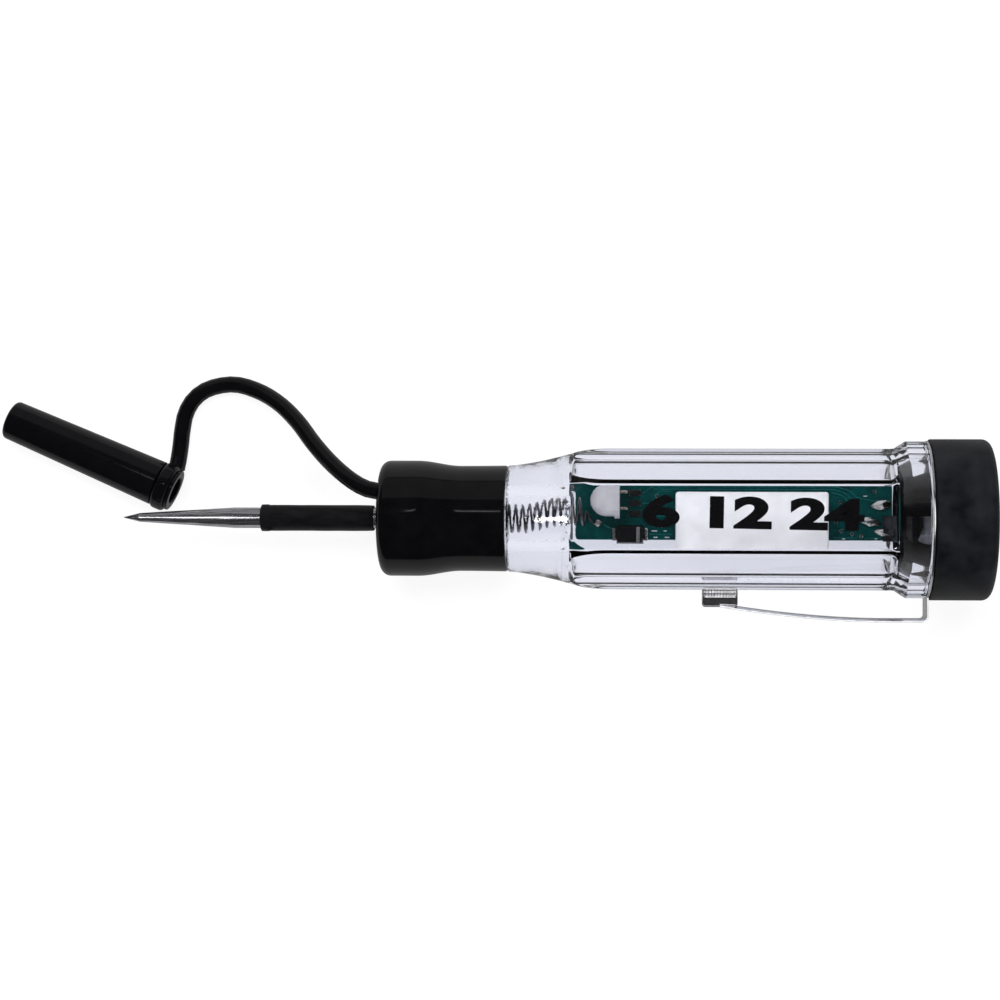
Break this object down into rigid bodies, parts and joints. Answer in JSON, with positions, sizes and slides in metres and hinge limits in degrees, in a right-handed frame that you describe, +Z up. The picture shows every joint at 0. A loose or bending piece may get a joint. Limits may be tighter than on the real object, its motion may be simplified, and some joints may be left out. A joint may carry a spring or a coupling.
{
  "type": "automotive polarity tester",
  "caption": "Needle-probe polarity tester with a clear hexagonal handle, board inside, pocket clip, rubber end cap and a tethered tip guard.",
  "frame": {"origin": "on the table under the centre of the tester's box, without the tether and its guard", "axes": "+X along the tester from the needle to the rear cap, +Y away from the pocket clip, +Z up from the table"},
  "size_m": [0.1545, 0.0381, 0.0251],
  "materials": {
    "needle_steel": "bright ground steel",
    "sleeve_black": "satin shrink tube",
    "socket_brass": "turned",
    "nose_plastic": "glossy black",
    "spring_steel": "bright wire",
    "clear_plastic": "clear polished",
    "cap_rubber": "matt black",
    "clip_chrome": "bright plated",
    "board_green": "green solder mask",
    "clear_lens": "clear epoxy",
    "solder_metal": "bright solder",
    "diode_black": "moulded black",
    "chip_grey": "dark ceramic chip",
    "milky_white": "milky translucent",
    "signal_red": "red lens",
    "signal_green": "green lens",
    "tether_rubber": "glossy black",
    "guard_plastic": "glossy black"
  },
  "bodies": {
    "root": {"probe_needle": "needle_steel", "needle_sleeve": "sleeve_black", "needle_socket": "socket_brass", "nose_grip": "nose_plastic", "contact_spring": "spring_steel", "clear_handle": "clear_plastic", "rear_cap": "cap_rubber", "pocket_clip": "clip_chrome", "circuit_board": "board_green", "front_led": "clear_lens", "front_led_leg_1": "solder_metal", "front_led_leg_2": "solder_metal", "diode_body": "diode_black", "diode_terminal_1": "solder_metal", "diode_terminal_2": "solder_metal", "resistor_1": "chip_grey", "resistor_2": "chip_grey", "resistor_3": "chip_grey", "light_bar": "milky_white", "led_red": "signal_red", "led_green": "signal_green", "spring_solder": "solder_metal", "rear_solder_1": "solder_metal", "rear_solder_2": "solder_metal", "rear_solder_3": "solder_metal", "clip_contact": "clip_chrome", "tether_cord": "tether_rubber", "guard_ring": "tether_rubber", "tip_guard": "guard_plastic"}
  },
  "joints": []
}
